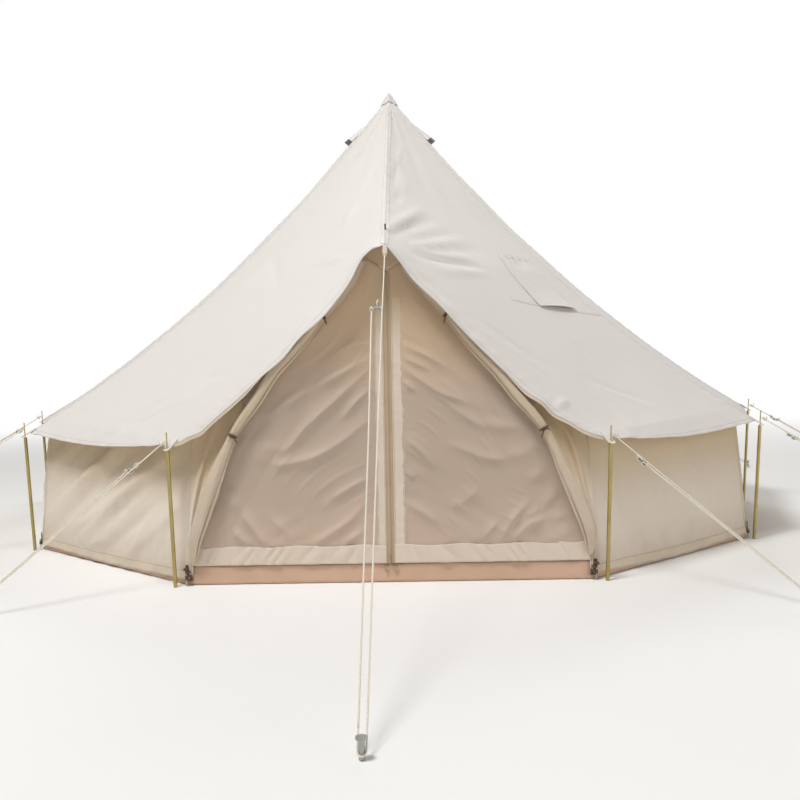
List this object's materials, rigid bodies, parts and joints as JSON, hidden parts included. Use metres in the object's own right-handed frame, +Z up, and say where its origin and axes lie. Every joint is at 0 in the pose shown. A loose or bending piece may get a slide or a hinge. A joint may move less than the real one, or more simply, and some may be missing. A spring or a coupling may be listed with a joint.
{
  "type": "bell tent",
  "caption": "Round canvas tent with a conical roof on a centre pole, low walls on eave poles, an A-frame mesh door and roped guys.",
  "frame": {"origin": "on the ground under the centre pole, at the groundsheet's underside", "axes": "+Z up, the door faces -Y, +X to the right of someone who faces the door"},
  "size_m": [7.514, 7.904, 3.0324],
  "materials": {
    "roof_canvas": "matt proofed cotton",
    "wall_canvas": "matt proofed cotton",
    "groundsheet": "matt coated sheet",
    "door_mesh": "fine open mesh",
    "zip_metal": "dull metal",
    "webbing": "woven webbing",
    "frame_steel": "galvanised",
    "moulded": "moulded",
    "crown_metal": "dark paint",
    "pole_steel": "yellow plated",
    "peg_steel": "galvanised",
    "rope": "twisted cord",
    "tensioner": "dull metal"
  },
  "bodies": {
    "tent": {"roof_front_left": "roof_canvas", "roof_front_right": "roof_canvas", "roof_left": "roof_canvas", "roof_right": "roof_canvas", "roof_rear": "roof_canvas", "apex_cap": "roof_canvas", "vent_hoods": "roof_canvas", "wall_left": "wall_canvas", "wall_right": "wall_canvas", "wall_rear": "wall_canvas", "groundsheet": "groundsheet", "groundsheet_rim": "groundsheet", "door_sill": "groundsheet", "door_flanks": "door_mesh", "rolled_door_left": "wall_canvas", "rolled_door_right": "wall_canvas", "door_ties": "webbing", "centre_pole_lower": "frame_steel", "centre_pole_upper": "frame_steel", "centre_pole_foot": "moulded", "centre_pole_top": "moulded", "a_frame_left_leg": "frame_steel", "a_frame_right_leg": "frame_steel", "a_frame_crown": "crown_metal", "wall_poles": "pole_steel", "guy_tabs": "webbing", "guy_pegs": "peg_steel", "wall_pegs": "peg_steel", "peg_loops": "webbing", "guy_rope_front": "rope", "guy_rope_1": "rope", "guy_rope_2": "rope", "guy_rope_3": "rope", "guy_rope_4": "rope", "guy_rope_5": "rope", "guy_rope_6": "rope", "guy_rope_7": "rope", "guy_rope_8": "rope", "guy_rope_9": "rope", "guy_rope_10": "rope", "guy_rope_11": "rope"},
    "left_screen": {"screen_left": "door_mesh"},
    "right_screen": {"screen_right": "door_mesh"},
    "zip_slider": {"door_zip_slider": "zip_metal"},
    "left_sill_slider": {"sill_slider_left": "zip_metal"},
    "right_sill_slider": {"sill_slider_right": "zip_metal"},
    "flap": {"stove_flap": "roof_canvas"},
    "tensioner_front": {"tensioner_front": "tensioner"},
    "tensioner_1": {"tensioner_1": "tensioner"},
    "tensioner_2": {"tensioner_2": "tensioner"},
    "tensioner_3": {"tensioner_3": "tensioner"},
    "tensioner_4": {"tensioner_4": "tensioner"},
    "tensioner_5": {"tensioner_5": "tensioner"},
    "tensioner_6": {"tensioner_6": "tensioner"},
    "tensioner_7": {"tensioner_7": "tensioner"},
    "tensioner_8": {"tensioner_8": "tensioner"},
    "tensioner_9": {"tensioner_9": "tensioner"},
    "tensioner_10": {"tensioner_10": "tensioner"},
    "tensioner_11": {"tensioner_11": "tensioner"}
  },
  "joints": [
    {"name": "left_screen_fold", "type": "hinge", "parent": "tent", "child": "left_screen", "pos_m": [-0.87, -2.29238, 0.0924], "axis": [0.524, 0, 0.8517], "range_deg": [0, 110]},
    {"name": "right_screen_fold", "type": "hinge", "parent": "tent", "child": "right_screen", "pos_m": [0.87, -2.29238, 0.0924], "axis": [0.524, 0, -0.8517], "range_deg": [0, 110]},
    {"name": "zip_slide", "type": "slide", "parent": "left_screen", "child": "zip_slider", "axis": [0, 0, 1], "range_m": [0, 1.25]},
    {"name": "left_sill_zip", "type": "slide", "parent": "tent", "child": "left_sill_slider", "axis": [-1, 0, 0], "range_m": [0, 0.75]},
    {"name": "right_sill_zip", "type": "slide", "parent": "tent", "child": "right_sill_slider", "axis": [1, 0, 0], "range_m": [0, 0.75]},
    {"name": "stove_flap_hinge", "type": "hinge", "parent": "tent", "child": "flap", "pos_m": [0.62125, -1.2747, 1.69022], "axis": [-0.5381, -0.8427, -0.0164], "range_deg": [0, 110]},
    {"name": "runner_front", "type": "slide", "parent": "tent", "child": "tensioner_front", "axis": [-0.0218, -0.7395, -0.6728], "range_m": [-0.12, 0.4], "deforming": ["guy_rope_front"]},
    {"name": "runner_1", "type": "slide", "parent": "tent", "child": "tensioner_1", "axis": [0.6765, -0.4038, -0.6158], "range_m": [-0.12, 0.4], "deforming": ["guy_rope_1"]},
    {"name": "runner_2", "type": "slide", "parent": "tent", "child": "tensioner_2", "axis": [0.7101, -0.493, -0.5027], "range_m": [-0.12, 0.4], "deforming": ["guy_rope_2"]},
    {"name": "runner_3", "type": "slide", "parent": "tent", "child": "tensioner_3", "axis": [0.862, -0.0577, -0.5036], "range_m": [-0.12, 0.4], "deforming": ["guy_rope_3"]},
    {"name": "runner_4", "type": "slide", "parent": "tent", "child": "tensioner_4", "axis": [0.7671, 0.3986, -0.5027], "range_m": [-0.12, 0.4], "deforming": ["guy_rope_4"]},
    {"name": "runner_5", "type": "slide", "parent": "tent", "child": "tensioner_5", "axis": [0.4486, 0.7396, -0.5018], "range_m": [-0.12, 0.4], "deforming": ["guy_rope_5"]},
    {"name": "runner_6", "type": "slide", "parent": "tent", "child": "tensioner_6", "axis": [0, 0.8644, -0.5029], "range_m": [-0.12, 0.4], "deforming": ["guy_rope_6"]},
    {"name": "runner_7", "type": "slide", "parent": "tent", "child": "tensioner_7", "axis": [-0.4486, 0.7396, -0.5018], "range_m": [-0.12, 0.4], "deforming": ["guy_rope_7"]},
    {"name": "runner_8", "type": "slide", "parent": "tent", "child": "tensioner_8", "axis": [-0.7671, 0.3986, -0.5027], "range_m": [-0.12, 0.4], "deforming": ["guy_rope_8"]},
    {"name": "runner_9", "type": "slide", "parent": "tent", "child": "tensioner_9", "axis": [-0.862, -0.0577, -0.5036], "range_m": [-0.12, 0.4], "deforming": ["guy_rope_9"]},
    {"name": "runner_10", "type": "slide", "parent": "tent", "child": "tensioner_10", "axis": [-0.7101, -0.493, -0.5027], "range_m": [-0.12, 0.4], "deforming": ["guy_rope_10"]},
    {"name": "runner_11", "type": "slide", "parent": "tent", "child": "tensioner_11", "axis": [-0.6765, -0.4038, -0.6158], "range_m": [-0.12, 0.4], "deforming": ["guy_rope_11"]}
  ]
}
